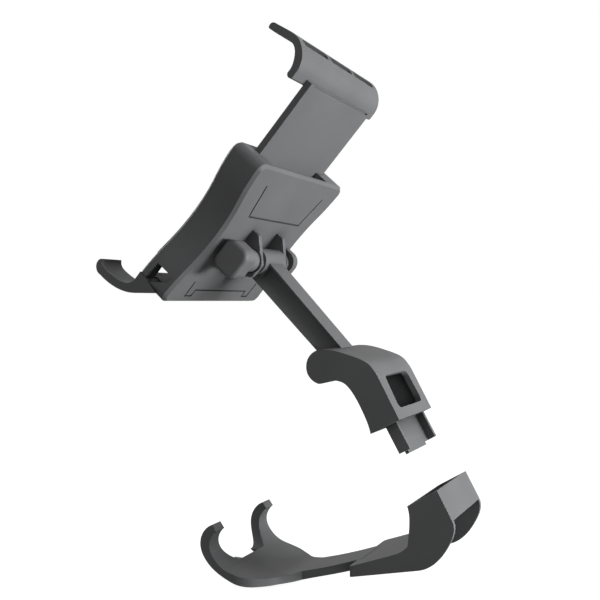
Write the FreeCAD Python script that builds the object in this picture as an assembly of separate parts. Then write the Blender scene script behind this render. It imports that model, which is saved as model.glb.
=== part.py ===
import FreeCAD, Part
import math
import os

# Phone holder for a game controller, drawn in the posture of the photo.
# Millimetres. X to the right, Y across the width, Z up. Y = 0 is the plane
# of symmetry. The origin is the middle of the controller seat under the saddle.

os.makedirs("parts", exist_ok=True)

# Fits that several pieces share
RUN_GAP = 0.3            # air between pieces that move past each other
PIN_FIT = 0.06           # radial play of the hinge bolt in its bores

# Places in the side view, measured from the seat
SHIFT_X = -27.5
SHIFT_Z = 30.5
HOLDER_TILT = 48.2       # slope of the phone holder above the horizontal
HOLDER_X = 13.05
HOLDER_Z = 20.92
CLIP_TILT = 29.4         # lean of the tongue away from the vertical

# Phone holder housing: length runs to -U, depth F runs to the phone
HOUSE_LEN = 43.5
TOP_U = 0.4              # upper end
HOUSE_DEPTH = 10.0
HOUSE_HALF = 25.0
WAIST_HALF = HOUSE_HALF - 3.5
LOW_U = -HOUSE_LEN       # lower end, where the claws stand
WALL = 1.8
CORNER_R = 2.4
BACK_BEVEL = 0.8
COVER_T = 1.3
COVER_F = HOUSE_DEPTH - COVER_T
COVER_BEVEL = 0.6

# Claws, the windows beside them and the soft pad
CLAW_U = LOW_U + 0.4
CLAW_IN = HOUSE_HALF - 8.6
CLAW_OUT = HOUSE_HALF - 0.1
WINDOW_IN = HOUSE_HALF - 5.6
WINDOW_TOP = LOW_U + 6.2
PAD_INSET = 1.8
PAD_T = 0.5

# Slide and jaw
SLIDE_HALF = HOUSE_HALF - 5.8
SLIDE_BACK = HOUSE_DEPTH - 4.4
SLIDE_T = 1.8
SLIDE_FRONT = SLIDE_BACK + SLIDE_T
SLIDE_TOP = 21.4
SLIDE_END = LOW_U + 24.1
SLIDE_OUT = 8.0
JAW_HALF = HOUSE_HALF + 0.6
SLOT_PITCH = JAW_HALF * 0.613
SLOT_LEN = SLOT_PITCH - 1.5
SLOT_W = 2.0
FOOT_HALF = SLIDE_HALF - 4.7
FOOT_T = 1.9
JAW_SCREW_U = 18.6
JAW_SCREW_Y = FOOT_HALF - 4.5

# Rails of the tray and of the cover, which steady the slide's edges
RAIL_W = 1.6
RAIL_OUT = SLIDE_HALF - 0.7

# Tilt hinge, its axis runs along Y
HINGE_U = -24.3
HINGE_F = -4.9
EAR_IN = 6.2
EAR_OUT = 7.7
PIN_R = 1.5
BARREL_R = 3.5
KNOB_LONG = 8.6
KNOB_DEEP = 7.7
KNOB_CORNER = 3.0
KNOB_IN = -12.6
KNOB_END = -17.0
NECK_R = 3.0
WASHER_END = -8.5
BOSS_IN = 8.5
BOSS_END = 11.0
NUT_FLATS = 5.5
NUT_IN = BOSS_IN + 0.1
PLINTH_RISE = 0.6
PLINTH_HALF = 9.8

# Saddle, tongue and lower clip
SADDLE_HALF = 13.0
SADDLE_WALL = 1.4
TONGUE_HALF = 11.0
TONGUE_WALL = 1.2
TONGUE_FRONT = 13.5
TONGUE_BACK = 16.5
TAB_HALF = 7.0
SADDLE_END_T = 54.7
TONGUE_END_T = 61.9
TAB_END_T = 62.7
ARM_HALF = 3.9
FLUTE_R = 4.0
FLUTE_DEPTH = 0.9
SOCKET_WALL = 1.3
FORK_HALF = 16.0
FORK_GAP = 4.2
HOOK_IN = 11.8
GAP_END = -3.4           # bottom of the gap between the hooks, on X in the side view


def vec(a, b, c):
    """Short form for a vector."""
    return FreeCAD.Vector(a, b, c)


def closed(points):
    """Straight runs from point to point and back to the first."""
    return [[points[i], points[(i + 1) % len(points)]] for i in range(len(points))]


def face_of(runs, place):
    """Face from runs of points: two give a line, three an arc, more a smooth curve."""
    edges = []
    for run in runs:
        pts = [place(a, b) for a, b in run]
        if len(pts) == 2:
            edges.append(Part.makeLine(pts[0], pts[1]))
        elif len(pts) == 3:
            edges.append(Part.Arc(pts[0], pts[1], pts[2]).toShape())
        else:
            curve = Part.BSplineCurve()
            curve.interpolate(pts)
            edges.append(curve.toShape())
    return Part.Face(Part.Wire(edges))


def arc_chain(points, heading):
    """Arcs from point to point, each one leaving as the last arrives. Heading in degrees."""
    turn = math.radians(heading)
    runs = []
    for (xa, ya), (xb, yb) in zip(points[:-1], points[1:]):
        chord = math.atan2(yb - ya, xb - xa)
        half = math.atan2(math.sin(chord - turn), math.cos(chord - turn))
        length = math.hypot(xb - xa, yb - ya)
        rise = length / 2.0 * math.tan(half / 2.0)
        xm = (xa + xb) / 2.0 + rise * math.sin(chord)
        ym = (ya + yb) / 2.0 - rise * math.cos(chord)
        runs.append([(xa, ya), (xm, ym), (xb, yb)])
        turn = chord + half
    return runs


def side_prism(runs, y0, y1):
    """Solid from a side view outline, drawn between two places on Y."""
    face = face_of(runs, lambda a, b: vec(a, y0, b))
    return face.extrude(vec(0, y1 - y0, 0))


def plan_prism(runs, z0, z1):
    """Solid from a plan outline, drawn between two heights."""
    face = face_of(runs, lambda a, b: vec(a, b, z0))
    return face.extrude(vec(0, 0, z1 - z0))


def end_prism(runs, x0, x1):
    """Solid from an end view outline, drawn between two places on X."""
    face = face_of(runs, lambda a, b: vec(x0, a, b))
    return face.extrude(vec(x1 - x0, 0, 0))


def box(x0, x1, y0, y1, z0, z1):
    """Box between two corners."""
    return Part.makeBox(x1 - x0, y1 - y0, z1 - z0, vec(x0, y0, z0))


def rod(radius, start, end):
    """Cylinder from one point to another."""
    axis = end.sub(start)
    return Part.makeCylinder(radius, axis.Length, start, axis)


def joined(shapes):
    """One solid out of several that touch or overlap."""
    result = shapes[0]
    if len(shapes) > 1:
        result = shapes[0].fuse(shapes[1:])
    return result.removeSplitter()


def rounded(shape, radius, pick):
    """Round the edges that the test picks."""
    edges = [edge for edge in shape.Edges if pick(edge)]
    return shape.makeFillet(radius, edges)


def bevelled(shape, size, pick):
    """Bevel the edges that the test picks."""
    edges = [edge for edge in shape.Edges if pick(edge)]
    return shape.makeChamfer(size, edges)


def edge_span(edge):
    """Size of the box round an edge along X, Y and Z."""
    bound = edge.BoundBox
    return bound.XLength, bound.YLength, bound.ZLength


def along_z(edge):
    """True for an edge that runs along Z only."""
    dx, dy, dz = edge_span(edge)
    return dx < 0.01 and dy < 0.01 and dz > 0.05


def along_y(edge):
    """True for an edge that runs along Y only."""
    dx, dy, dz = edge_span(edge)
    return dx < 0.01 and dz < 0.01 and dy > 0.05


def in_holder(shape):
    """Place a shape from the holder's own axes into the part."""
    turn = FreeCAD.Rotation(vec(0, 1, 0), -HOLDER_TILT)
    base = vec(HOLDER_X + SHIFT_X, 0, HOLDER_Z + SHIFT_Z)
    result = shape.copy()
    result.Placement = FreeCAD.Placement(base, turn).multiply(result.Placement)
    return result


def in_side_view(shape):
    """Place a shape drawn in the side view, whose zero is near the hinge."""
    result = shape.copy()
    result.translate(vec(SHIFT_X, 0, SHIFT_Z))
    return result


def from_clip_axes(shape):
    """Turn a shape from the tongue's own axes into the side view."""
    turn = FreeCAD.Rotation(vec(0, 1, 0), -CLIP_TILT)
    result = shape.copy()
    result.Placement = FreeCAD.Placement(vec(0, 0, 0), turn).multiply(result.Placement)
    return result


def from_holder_axes(u, f):
    """Side view place of a point given in the holder's axes."""
    tilt = math.radians(HOLDER_TILT)
    x = HOLDER_X + u * math.cos(tilt) - f * math.sin(tilt)
    z = HOLDER_Z + u * math.sin(tilt) + f * math.cos(tilt)
    return x, z


def half_width(u):
    """Half width of the housing at a place along its length, from arcs of one radius."""
    quarter = HOUSE_LEN / 4.0
    rise = (HOUSE_HALF - WAIST_HALF) / 2.0
    radius = (quarter * quarter + rise * rise) / (2.0 * rise)
    from_end = min(-u, HOUSE_LEN + u)
    if from_end < quarter:
        return HOUSE_HALF - radius + math.sqrt(radius * radius - from_end * from_end)
    from_waist = u + HOUSE_LEN / 2.0
    return WAIST_HALF + radius - math.sqrt(radius * radius - from_waist * from_waist)


def waisted(u0, u1, inset, f0, f1, corner):
    """Waisted block between two places along the length, drawn in by an inset."""
    quarter = HOUSE_LEN / 4.0
    bends = [u0, -quarter, -3.0 * quarter, u1]
    near = []
    for ua, ub in zip(bends[:-1], bends[1:]):
        near.append([(u, inset - half_width(u)) for u in (ua, (ua + ub) / 2.0, ub)])
    far = [[(u, -y) for u, y in reversed(run)] for run in reversed(near)]
    runs = near + [[near[-1][-1], far[0][0]]] + far + [[far[-1][-1], near[0][0]]]
    block = plan_prism(runs, f0, f1)
    return rounded(block, corner, lambda e: along_z(e) and at_ends(e, u0, u1))


def at_ends(edge, u0, u1):
    """True for an edge at one of two places along the length."""
    u = edge.BoundBox.Center.x
    return abs(u - u0) < 0.01 or abs(u - u1) < 0.01


def groove(points, width, depth):
    """Shallow line in the back face through the given points."""
    pieces = []
    for (ua, ya), (ub, yb) in zip(points[:-1], points[1:]):
        length = math.hypot(ub - ua, yb - ya)
        bar = Part.makeBox(length, width, depth + 1.0, vec(0, -width / 2.0, -1.0))
        angle = math.degrees(math.atan2(yb - ya, ub - ua))
        bar.Placement = FreeCAD.Placement(vec(ua, ya, 0), FreeCAD.Rotation(vec(0, 0, 1), angle))
        pieces.append(bar)
        pieces.append(rod(width / 2.0, vec(ub, yb, -1.0), vec(ub, yb, depth)))
    return joined(pieces)


def knob_section(y0, y1):
    """Block with the knob's rounded section round the hinge axis."""
    half_u = KNOB_LONG / 2.0
    half_f = KNOB_DEEP / 2.0
    block = box(HINGE_U - half_u, HINGE_U + half_u, y0, y1, HINGE_F - half_f, HINGE_F + half_f)
    return rounded(block, KNOB_CORNER, along_y)


def ear(y0, y1):
    """Hinge ear that stands on the back of the housing."""
    rise = -7.9
    points = [
        (HINGE_U + 6.2, 0.6),
        (HINGE_U + 6.3, -2.2),
        (HINGE_U + 1.0, rise),
        (HINGE_U - 3.2, rise),
        (HINGE_U - 7.1, -2.2),
        (HINGE_U - 7.0, 0.6),
    ]
    block = side_prism(closed(points), y0, y1)
    return rounded(block, 0.9, lambda e: along_y(e) and e.BoundBox.ZMax < -2.0)


def claw(side):
    """One lower claw, a sheet that curls round the phone's lower edge."""
    low = CLAW_U
    face = HOUSE_DEPTH
    outer = [(low + 0.5, 3.0), (low - 1.8, 5.5), (low - 5.1, face - 0.6), (low - 6.3, face + 1.9),
             (low - 7.2, face + 5.2), (low - 7.5, face + 9.0)]
    tip = [(low - 7.5, face + 9.0), (low - 7.1, face + 11.0), (low - 6.1, face + 11.8),
           (low - 4.9, face + 11.9), (low - 4.1, face + 11.4)]
    inner = [(low - 4.1, face + 11.4), (low - 5.2, face + 10.2), (low - 5.4, face + 8.0),
             (low - 5.0, face + 5.2), (low - 3.7, face + 1.5), (low - 2.5, face + 0.4), (low - 1.0, face)]
    root = (LOW_U + WALL, face)
    runs = [outer, tip, inner, [inner[-1], root], [root, outer[0]]]
    y0 = CLAW_IN
    y1 = CLAW_OUT
    if side < 0:
        y0, y1 = -y1, -y0
    return side_prism(runs, y0, y1)


def side_window(side):
    """Cut for the window in one side wall, near the claws."""
    points = [(CLAW_U + 6.4, 1.9), (CLAW_U + 6.3, COVER_F - 1.0), (CLAW_U + 0.9, COVER_F - 0.6),
              (CLAW_U + 0.9, 6.6), (CLAW_U + 4.7, 2.0)]
    y0 = WINDOW_IN
    y1 = HOUSE_HALF + 1.5
    if side < 0:
        y0, y1 = -y1, -y0
    return side_prism(closed(points), y0, y1)


BOSS_R = 1.6
BOSS_BORE = 0.8
BOSS_Y = SLIDE_HALF + RUN_GAP + BOSS_R + 0.2
BOSS_SPOTS = [(-4.3, -BOSS_Y), (-4.3, BOSS_Y), (LOW_U + 3.8, 0.0)]
HEAD_SINK = 0.7          # depth of the screw heads in the cover
LEAF_SPOT = -21.5


def rail(side, u0, u1, f0, f1):
    """Rail along one edge of the slide."""
    low = min(side * (RAIL_OUT - RAIL_W), side * RAIL_OUT)
    return box(u0, u1, low, low + RAIL_W, f0, f1)


def rear_shell():
    """Waisted tray with hinge ears, nut boss and the two lower claws."""
    tray = waisted(TOP_U, LOW_U, 0.0, 0.0, COVER_F, CORNER_R)
    tray = bevelled(tray, BACK_BEVEL, lambda e: e.BoundBox.ZMax < 0.01)
    inside = waisted(-WALL, LOW_U + WALL, WALL, WALL, COVER_F + 1.0, CORNER_R - WALL)
    tray = tray.cut(inside)
    tray = tray.cut([side_window(-1), side_window(1)])
    plinth = box(HINGE_U - 10.7, HINGE_U + 9.0, -PLINTH_HALF, PLINTH_HALF, -PLINTH_RISE, 0.5)
    plinth = rounded(plinth, 3.0, along_z)
    parts = [tray, plinth, claw(-1), claw(1), ear(-EAR_OUT, -EAR_IN), ear(EAR_IN, EAR_OUT)]
    parts.append(rod(NECK_R, vec(HINGE_U, EAR_OUT - 0.4, HINGE_F), vec(HINGE_U, BOSS_IN + 0.4, HINGE_F)))
    parts.append(knob_section(BOSS_IN, BOSS_END))
    for u, y in BOSS_SPOTS:
        parts.append(rod(BOSS_R, vec(u, y, WALL - 0.4), vec(u, y, COVER_F)))
    for side in (-1, 1):
        parts.append(rail(side, LOW_U + 7.1, 0.4 - WALL, WALL - 0.4, SLIDE_BACK - RUN_GAP))
    shell = joined(parts)
    mouth = box(-WALL - 0.2, 1.0, -SLIDE_HALF - RUN_GAP, SLIDE_HALF + RUN_GAP,
                SLIDE_BACK - RUN_GAP, COVER_F + 1.0)
    cuts = [mouth]
    near = WAIST_HALF - 7.0
    upper = [(-4.8, -near - 2.3), (-10.6, -near - 0.9), (-14.3, -near), (-14.3, near),
             (-10.6, near + 0.9), (-4.8, near + 2.3)]
    wide = WAIST_HALF - 5.0
    narrow = wide - 3.0
    lower = [(LOW_U + 7.3, -wide), (LOW_U + 2.5, -wide), (LOW_U + 2.5, -narrow), (LOW_U + 4.5, -narrow),
             (LOW_U + 4.5, narrow), (LOW_U + 2.5, narrow), (LOW_U + 2.5, wide), (LOW_U + 7.3, wide)]
    cuts.append(groove(upper, 0.5, 0.4))
    cuts.append(groove(lower, 0.5, 0.4))
    for u, y in BOSS_SPOTS:
        cuts.append(rod(BOSS_BORE, vec(u, y, WALL + 0.4), vec(u, y, COVER_F + 1.0)))
    cuts.append(rod(BOSS_BORE, vec(LEAF_SPOT, 0, 0.2), vec(LEAF_SPOT, 0, WALL + 1.0)))
    cuts.append(rod(PIN_R + PIN_FIT, vec(HINGE_U, -12, HINGE_F), vec(HINGE_U, 12, HINGE_F)))
    cuts.append(hex_rod(NUT_FLATS + 0.1, NUT_IN, BOSS_END + 1.0))
    return shell.cut(cuts)


def hex_rod(flats, y0, y1):
    """Six-sided rod round the hinge axis, given by its width over the flats."""
    radius = flats / math.sqrt(3.0)
    points = []
    for i in range(6):
        angle = math.radians(60.0 * i)
        points.append((HINGE_U + radius * math.cos(angle), HINGE_F + radius * math.sin(angle)))
    return side_prism(closed(points), y0, y1)


def front_cover():
    """Lid of the tray on the phone's side, with room for the screw heads."""
    lid = waisted(TOP_U, LOW_U, 0.0, COVER_F, HOUSE_DEPTH, CORNER_R)
    lid = bevelled(lid, COVER_BEVEL, lambda e: e.BoundBox.ZMin > HOUSE_DEPTH - 0.01)
    lip_f = SLIDE_FRONT + RUN_GAP
    parts = [lid, box(-WALL, TOP_U, -SLIDE_HALF, SLIDE_HALF, lip_f, COVER_F + 0.3)]
    for side in (-1, 1):
        parts.append(rail(side, LOW_U + 9.1, -WALL, lip_f, COVER_F + 0.3))
    lid = joined(parts)
    cuts = []
    width = WINDOW_IN - 4.0
    for side in (-1, 1):
        low = min(side * 4.0, side * WINDOW_IN)
        cuts.append(box(LOW_U + WALL, WINDOW_TOP, low, low + width, COVER_F - 1.0, HOUSE_DEPTH + 1.0))
        low = min(side * CLAW_IN, side * (CLAW_OUT + 1.0))
        claw_w = CLAW_OUT + 1.0 - CLAW_IN
        cuts.append(box(LOW_U - 1.0, LOW_U + WALL, low, low + claw_w, COVER_F - 1.0, HOUSE_DEPTH + 1.0))
    for u, y in BOSS_SPOTS:
        cuts.append(rod(1.0, vec(u, y, COVER_F - 1.0), vec(u, y, HOUSE_DEPTH + 1.0)))
        cuts.append(rod(1.75, vec(u, y, HOUSE_DEPTH - HEAD_SINK), vec(u, y, HOUSE_DEPTH + 1.0)))
    return lid.cut(cuts)


def pan_screw(base, direction, shank_r, length, head_r, head_t):
    """Screw with a low round head and a cross recess. Base is under the head."""
    back = vec(-direction.x, -direction.y, -direction.z)
    tip = base.add(vec(direction.x * length, direction.y * length, direction.z * length))
    top = base.add(vec(back.x * head_t, back.y * head_t, back.z * head_t))
    body = joined([rod(shank_r, base, tip), rod(head_r, top, base)])
    slot_w = head_r * 0.28
    slot_l = head_r * 1.3
    tool = joined([
        Part.makeBox(slot_l, slot_w, head_t, vec(-slot_l / 2, -slot_w / 2, -head_t / 2)),
        Part.makeBox(slot_w, slot_l, head_t, vec(-slot_w / 2, -slot_l / 2, -head_t / 2)),
    ])
    tool.Placement = FreeCAD.Placement(top, FreeCAD.Rotation(vec(0, 0, 1), direction))
    return body.cut(tool)


def housing_screws():
    """Three screws that close the housing, hidden under the phone pad."""
    down = vec(0, 0, -1)
    return Part.makeCompound([
        pan_screw(vec(u, y, HOUSE_DEPTH - HEAD_SINK), down, 0.75, 5.5, 1.6, 0.6) for u, y in BOSS_SPOTS
    ])


def phone_pad():
    """Soft pad on the phone's side of the cover."""
    pad = waisted(-PAD_INSET, LOW_U + PAD_INSET, PAD_INSET, HOUSE_DEPTH, HOUSE_DEPTH + PAD_T, 1.2)
    cuts = []
    width = HOUSE_HALF + 1.0 - 3.4
    for side in (-1, 1):
        low = min(side * 3.4, side * (HOUSE_HALF + 1.0))
        cuts.append(box(LOW_U - 1.9, WINDOW_TOP + 0.6, low, low + width, HOUSE_DEPTH - 1, HOUSE_DEPTH + 2))
    return pad.cut(cuts)


def friction_leaf():
    """Bowed spring strip that steadies the slide, its crest under the plate."""
    thick = 0.4
    crest = SLIDE_BACK - RUN_GAP
    upper = [(-18.5, WALL + thick), (-14.0, 3.1), (-9.5, crest - 0.6), (-6.0, crest), (-3.6, crest - 0.8)]
    lower = [(u, f - thick) for u, f in reversed(upper)]
    runs = [[(-24.0, WALL + thick), upper[0]], upper, [upper[-1], lower[0]], lower,
            [lower[-1], (-24.0, WALL)], [(-24.0, WALL), (-24.0, WALL + thick)]]
    strip = side_prism(runs, -3.6, 3.6)
    return strip.cut(rod(0.9, vec(LEAF_SPOT, 0, 0), vec(LEAF_SPOT, 0, 5)))


def leaf_screw():
    """Screw that holds the friction strip to the floor of the tray."""
    return pan_screw(vec(LEAF_SPOT, 0, WALL + 0.4), vec(0, 0, -1), 0.75, 1.5, 1.5, 0.7)


def slide_plate():
    """Flat plate of the slide with its stop lugs."""
    plate = box(SLIDE_END, SLIDE_TOP, -SLIDE_HALF, SLIDE_HALF, SLIDE_BACK, SLIDE_FRONT)
    plate = rounded(plate, 1.0, lambda e: along_z(e) and e.BoundBox.XMax < 0)
    lug_u = -WALL - RUN_GAP - SLIDE_OUT
    lugs = []
    for side in (-1, 1):
        low = min(side * 8.0, side * 16.0)
        lugs.append(box(lug_u - 2.0, lug_u, low, low + 8.0, SLIDE_BACK - 1.3, SLIDE_BACK + 0.5))
    plate = joined([plate] + lugs)
    cuts = []
    for side in (-1, 1):
        spot = side * JAW_SCREW_Y
        low = vec(JAW_SCREW_U, spot, SLIDE_BACK + 0.4)
        cuts.append(rod(0.75, low, vec(JAW_SCREW_U, spot, SLIDE_FRONT + 1.0)))
    return plate.cut(cuts)


def slot_cut(y, across, centre_u, centre_f, lean):
    """Long slot through the jaw's outer bend."""
    straight = SLOT_LEN - across
    half = straight / 2.0
    deep = 3.0
    bar = Part.makeBox(2 * deep, straight, across, vec(-deep, -half, -across / 2.0))
    ends = []
    for side in (-1, 1):
        ends.append(rod(across / 2.0, vec(-deep, side * half, 0), vec(deep, side * half, 0)))
    tool = joined([bar] + ends)
    turn = FreeCAD.Rotation(vec(0, 1, 0), lean)
    tool.Placement = FreeCAD.Placement(vec(centre_u, y, centre_f), turn)
    return tool


def upper_jaw():
    """Curved upper jaw with three slots in its bend and a foot on the slide."""
    face = SLIDE_FRONT
    outer = arc_chain([(21.8, face), (25.1, face + 1.0), (27.6, face + 4.0), (28.0, face + 7.4),
                       (27.15, face + 12.3)], 0.0)
    tip = arc_chain([(27.15, face + 12.3), (25.3, face + 12.8)], 105.0)
    inner = arc_chain([(25.3, face + 12.8), (25.5, face + 10.4), (26.15, face + 6.6), (25.1, face + 3.5),
                       (22.5, face + 2.0), (20.5, face + 1.8)], -88.0)
    heel = [(20.5, face + 1.8), (19.6, face + 0.9), (20.1, face)]
    sheet = side_prism([[heel[-1], outer[0][0]]] + outer + tip + inner + [heel], -JAW_HALF, JAW_HALF)
    foot = box(16.6, 20.8, -FOOT_HALF, FOOT_HALF, face, face + FOOT_T)
    foot = rounded(foot, 1.4, lambda e: along_z(e) and e.BoundBox.XMax < 17)
    jaw = joined([sheet, foot])
    cuts = []
    for i in (-1, 0, 1):
        cuts.append(slot_cut(i * SLOT_PITCH, SLOT_W, 27.6, face + 4.8, 25.0))
    for side in (-1, 1):
        spot = side * JAW_SCREW_Y
        cuts.append(rod(0.95, vec(JAW_SCREW_U, spot, face - 1.0), vec(JAW_SCREW_U, spot, face + 3.0)))
        cuts.append(rod(1.7, vec(JAW_SCREW_U, spot, face + 1.2), vec(JAW_SCREW_U, spot, face + 3.0)))
    return jaw.cut(cuts)


def jaw_screws():
    """Two short screws that fix the jaw's foot to the slide."""
    down = vec(0, 0, -1)
    under = SLIDE_FRONT + 1.2
    spots = [vec(JAW_SCREW_U, -JAW_SCREW_Y, under), vec(JAW_SCREW_U, JAW_SCREW_Y, under)]
    return Part.makeCompound([pan_screw(spot, down, 0.7, 2.5, 1.6, 0.6) for spot in spots])


def jaw_pad():
    """Soft strip on the inside of the jaw's grip."""
    face = SLIDE_FRONT
    back = [(25.15, face + 12.0), (25.32, face + 10.6), (25.65, face + 9.0)]
    front = [(25.15, face + 8.9), (24.8, face + 10.5), (24.65, face + 11.9)]
    runs = closed(back + front)
    return side_prism(runs, 13.6 - JAW_HALF, JAW_HALF - 13.6)


def hinge_bolt():
    """Bolt through the hinge with its six-sided head inside the knob."""
    shank = rod(PIN_R, vec(HINGE_U, KNOB_IN - 1.0, HINGE_F), vec(HINGE_U, BOSS_END - 0.1, HINGE_F))
    return joined([shank, hex_rod(NUT_FLATS, KNOB_IN - 3.2, KNOB_IN - 1.0)])


def thumb_knob():
    """Square-ish knob with a neck, moulded round the bolt's head."""
    body = knob_section(KNOB_END, KNOB_IN)
    body = rounded(body, 1.2, lambda e: e.BoundBox.YMax < KNOB_END + 0.01)
    neck = rod(NECK_R, vec(HINGE_U, KNOB_IN - 0.5, HINGE_F), vec(HINGE_U, WASHER_END, HINGE_F))
    bore = rod(PIN_R, vec(HINGE_U, KNOB_IN - 1.5, HINGE_F), vec(HINGE_U, WASHER_END + 0.5, HINGE_F))
    return joined([body, neck]).cut([bore, hex_rod(NUT_FLATS, KNOB_IN - 3.2, KNOB_IN - 1.0)])


def knob_washer():
    """Plain washer between the knob and the near ear."""
    y1 = -EAR_OUT - RUN_GAP
    ring = rod(3.4, vec(HINGE_U, WASHER_END, HINGE_F), vec(HINGE_U, y1, HINGE_F))
    return ring.cut(rod(PIN_R + 0.1, vec(HINGE_U, -9, HINGE_F), vec(HINGE_U, -7, HINGE_F)))


def hinge_nut():
    """Nut held in the pocket of the far boss."""
    nut = hex_rod(NUT_FLATS, NUT_IN, BOSS_END - 0.1)
    return nut.cut(rod(PIN_R + PIN_FIT, vec(HINGE_U, 7, HINGE_F), vec(HINGE_U, 12, HINGE_F)))


def hinge_place():
    """Hinge axis in the side view."""
    return from_holder_axes(HINGE_U, HINGE_F)


ARM_DIR = (0.695, -0.719)
ARM_FOOT = (21.4, -23.3)


def saddle_outline():
    """Outline of the saddle's side walls."""
    nose = [(22.0, -31.3), (20.2, -30.4), (19.0, -28.8), (18.7, -27.1), (19.1, -25.3), (20.3, -23.8),
            (22.4, -22.9)]
    top = [(22.4, -22.9), (26.8, -23.2), (30.3, -24.1), (33.1, -25.0), (34.9, -25.9), (36.2, -27.2),
           (37.3, -28.7)]
    under = [(35.6, -42.7), (34.9, -40.4), (33.5, -37.4), (31.9, -34.5), (30.3, -32.3), (28.7, -30.9),
             (27.0, -30.4), (25.2, -30.4), (23.6, -31.0), (22.0, -31.3)]
    return [nose, top, [top[-1], (42.8, -38.9)], [(42.8, -38.9), under[0]], under]


def saddle_shell():
    """Shell over the controller's edge, with the tongue under it."""
    body = side_prism(saddle_outline(), -SADDLE_HALF, SADDLE_HALF)
    inner_half = SADDLE_HALF - SADDLE_WALL
    room = [(24.6, -33.5), (25.2, -29.4), (26.8, -26.2), (29.8, -25.6), (32.6, -26.4), (34.4, -27.6),
            (36.1, -29.5), (40.5, -37.9), (36.2, -40.3), (30.0, -44.0), (24.0, -40.0)]
    body = body.cut(side_prism(closed(room), -inner_half, inner_half))
    window = window_cut()
    body = body.cut(window)
    s_end = -SADDLE_END_T
    back = TONGUE_FRONT + 0.9
    web = box(TONGUE_FRONT, back, -TONGUE_HALF, TONGUE_HALF, -TONGUE_END_T, s_end + 0.8)
    parts = [web, box(TONGUE_FRONT, back, -TAB_HALF, TAB_HALF, -TAB_END_T, -TONGUE_END_T)]
    for side in (-1, 1):
        low = min(side * TONGUE_HALF, side * (TONGUE_HALF - TONGUE_WALL))
        parts.append(box(TONGUE_FRONT, TONGUE_BACK, low, low + TONGUE_WALL, -TONGUE_END_T, s_end + 0.8))
    tongue = from_clip_axes(joined(parts))
    body = joined([body, tongue])
    seat_x, seat_z = ARM_FOOT
    dx, dz = ARM_DIR
    hole = rod(1.1, vec(seat_x - 2 * dx, 0, seat_z - 2 * dz), vec(seat_x + 8 * dx, 0, seat_z + 8 * dz))
    sink = rod(2.3, vec(seat_x + 3.4 * dx, 0, seat_z + 3.4 * dz), vec(seat_x + 9 * dx, 0, seat_z + 9 * dz))
    return body.cut([hole, sink])


def window_cut():
    """Window in the saddle's back wall, wider at its lower end."""
    runs = closed([(-8.2, -43.6), (-9.1, -52.3), (9.1, -52.3), (8.2, -43.6)])
    tool = end_prism(runs, 15.5, 20.5)
    tool = rounded(tool, 1.6, lambda e: edge_span(e)[0] > 4.9)
    return from_clip_axes(tool)


def saddle_pad():
    """Soft pad under the saddle's top wall, where the controller bears."""
    outer = [(26.95, -26.25), (29.8, -25.68), (32.55, -26.47), (34.25, -27.6)]
    inner = [(33.8, -28.3), (32.3, -27.2), (29.8, -26.45), (27.4, -26.95)]
    return side_prism(closed(outer + inner), -10.5, 10.5)


def arm():
    """Fluted arm from the hinge barrel to the saddle."""
    hx, hz = hinge_place()
    barrel = rod(BARREL_R, vec(hx, -EAR_IN + RUN_GAP, hz), vec(hx, EAR_IN - RUN_GAP, hz))
    points = [(3.05, -0.05), (-1.3, -4.8), (18.6, -24.9), (21.0, -26.5), (27.0, -26.0), (24.3, -22.8)]
    bar = side_prism(closed(points), -ARM_HALF, ARM_HALF)
    dx, dz = ARM_DIR
    reach = ARM_HALF + FLUTE_R - FLUTE_DEPTH
    x0, z0 = 1.4, -3.2
    cuts = []
    for side in (-1, 1):
        start = vec(x0 + 3.2 * dx, side * reach, z0 + 3.2 * dz)
        end = vec(x0 + 32 * dx, side * reach, z0 + 32 * dz)
        cuts.append(rod(FLUTE_R, start, end))
    bar = bar.cut(cuts)
    link = joined([barrel, bar])
    body = side_prism(saddle_outline(), -SADDLE_HALF, SADDLE_HALF)
    link = link.cut(body)
    link = link.cut(rod(PIN_R + PIN_FIT, vec(hx, -8, hz), vec(hx, 8, hz)))
    seat_x, seat_z = ARM_FOOT
    pilot = rod(0.9, vec(seat_x - 7 * dx, 0, seat_z - 7 * dz), vec(seat_x + 3 * dx, 0, seat_z + 3 * dz))
    return link.cut(pilot)


def arm_screw():
    """Screw from inside the saddle up into the arm."""
    seat_x, seat_z = ARM_FOOT
    dx, dz = ARM_DIR
    base = vec(seat_x + 3.4 * dx, 0, seat_z + 3.4 * dz)
    return pan_screw(base, vec(-dx, 0, -dz), 0.85, 9.8, 2.0, 1.3)


def socket():
    """Box that slides over the tongue, open at the back below its wall."""
    front = [(44.7, -59.0), (45.15, -60.8), (45.25, -62.8), (45.1, -65.6), (44.8, -68.4)]
    ledge = [(44.8, -68.4), (43.4, -69.7), (40.0, -71.3), (36.5, -72.6), (33.3, -73.8), (29.9, -75.0)]
    heel = [(47.6, -73.7), (49.6, -72.9), (51.3, -71.7), (53.0, -69.8), (54.6, -67.2), (55.7, -64.6),
            (55.9, -63.0), (55.5, -61.4)]
    runs = [front, ledge, [(29.9, -75.0), (29.9, -77.6)], [(29.9, -77.6), (47.6, -73.7)], heel,
            [(55.5, -61.4), (51.9, -54.7)], [(51.9, -54.7), (44.7, -59.0)]]
    body = side_prism(runs, -SADDLE_HALF, SADDLE_HALF)
    body = rounded(body, 1.2, lambda e: along_z(e) and e.BoundBox.XMax < 30.0)
    inner_half = SADDLE_HALF - SOCKET_WALL
    room = [(45.3, -57.3), (46.4, -59.7), (46.6, -63.0), (46.4, -68.4), (46.2, -70.6), (47.4, -71.6),
            (50.2, -70.4), (51.2, -75.0), (60.0, -75.0), (60.0, -60.4), (56.4, -60.9), (54.3, -62.1),
            (50.2, -54.4)]
    return body.cut(side_prism(closed(room), -inner_half, inner_half))


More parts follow.
